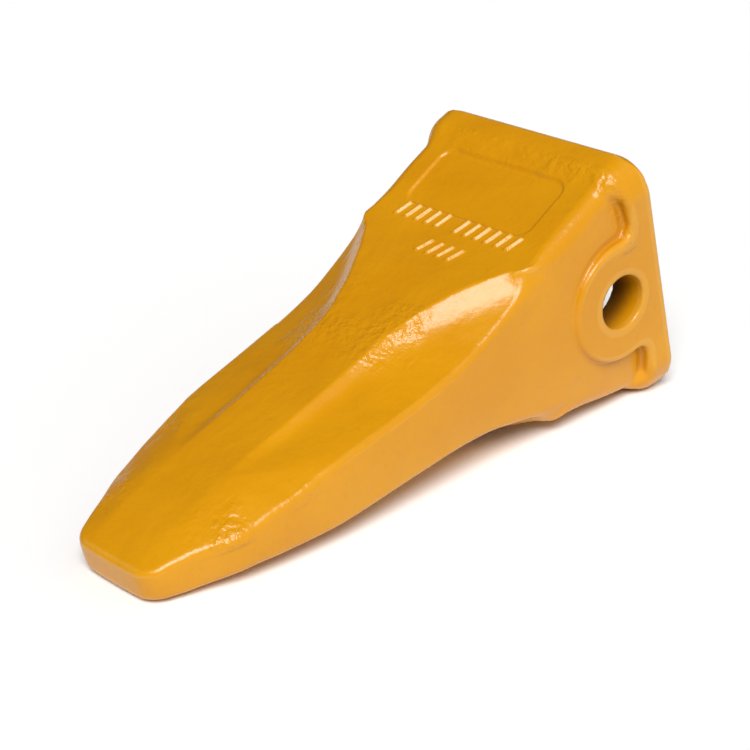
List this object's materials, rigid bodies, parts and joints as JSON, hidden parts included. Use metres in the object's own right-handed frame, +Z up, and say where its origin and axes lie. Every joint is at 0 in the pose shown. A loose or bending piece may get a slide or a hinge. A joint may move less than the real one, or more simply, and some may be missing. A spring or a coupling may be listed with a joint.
{
  "type": "excavator bucket tooth",
  "caption": "Hollow cast excavator bucket tooth with a chisel tip, scooped upper and lower faces, a cross bore behind a raised boss, and a grooved lock pin partly drawn out of it.",
  "frame": {"origin": "on the floor, under the middle of the whole part's box, with the tooth lying at rest on its collar edge and the underside of its blade", "axes": "+Z up; the tip points towards -Y and down by 11.0 degrees; the lock pin and its bore run along X, and the pin is drawn back towards -X"},
  "size_m": [0.129, 0.2682, 0.1124],
  "materials": {
    "painted_casting": "glossy orange-yellow enamel over a rough sand casting",
    "pin_steel": "dark heat-treated steel with turned ends"
  },
  "bodies": {
    "tooth": {"tooth_casting": "painted_casting"},
    "pin": {"lock_pin": "pin_steel"}
  },
  "joints": [
    {"name": "pin_slide", "type": "slide", "parent": "tooth", "child": "pin", "axis": [1, 0, 0], "range_m": [-0.096, 0.0195]}
  ]
}
